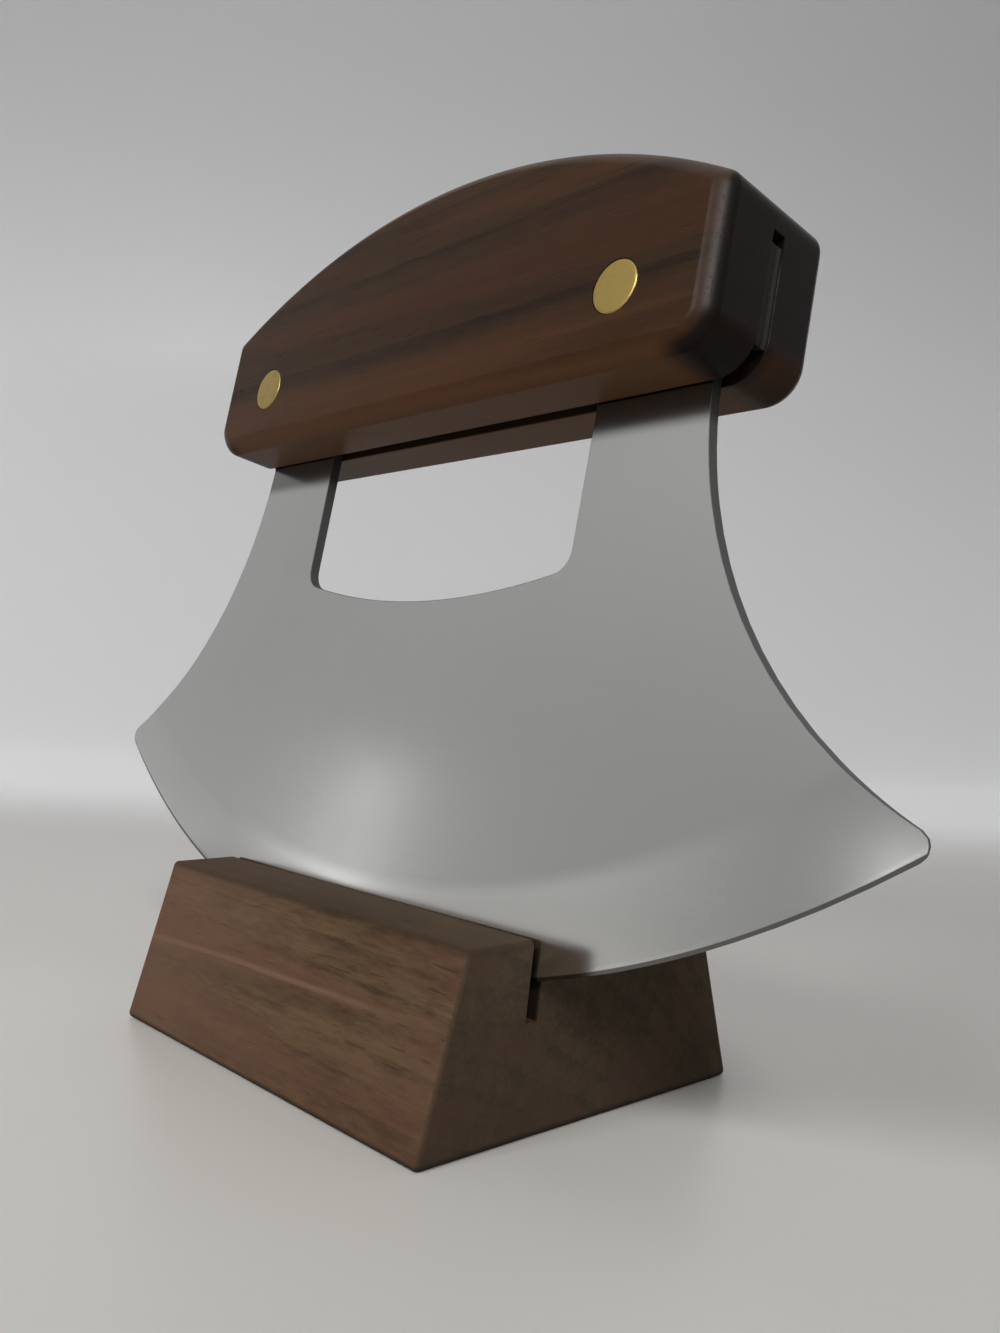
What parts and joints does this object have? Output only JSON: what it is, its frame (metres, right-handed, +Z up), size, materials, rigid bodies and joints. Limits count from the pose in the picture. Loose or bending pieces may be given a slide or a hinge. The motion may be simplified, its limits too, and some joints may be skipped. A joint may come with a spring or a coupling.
{
  "type": "ulu knife with stand",
  "caption": "Ulu knife with a curved ground blade and an arched wooden handle on brass pins, leaning back in the slot of a small wooden stand.",
  "frame": {"origin": "centre of the stand's flat underside", "axes": "+X along the slot and the blade, +Y from the side that the slot lies nearer to towards the side that the knife leans to, +Z up"},
  "size_m": [0.1486, 0.0498, 0.1143],
  "materials": {
    "blade_steel": "satin, ground along the edge",
    "handle_wood": "dark, oiled to a satin",
    "pin_brass": "filed flush and polished",
    "stand_wood": "sawn and sanded, unfinished"
  },
  "bodies": {
    "stand": {"stand": "stand_wood"},
    "knife": {"blade": "blade_steel", "handle": "handle_wood", "pin_left": "pin_brass", "pin_right": "pin_brass"}
  },
  "joints": [
    {"name": "knife_lift", "type": "slide", "parent": "stand", "child": "knife", "axis": [0, 0.1874, 0.9823], "range_m": [0, 0.06]}
  ]
}
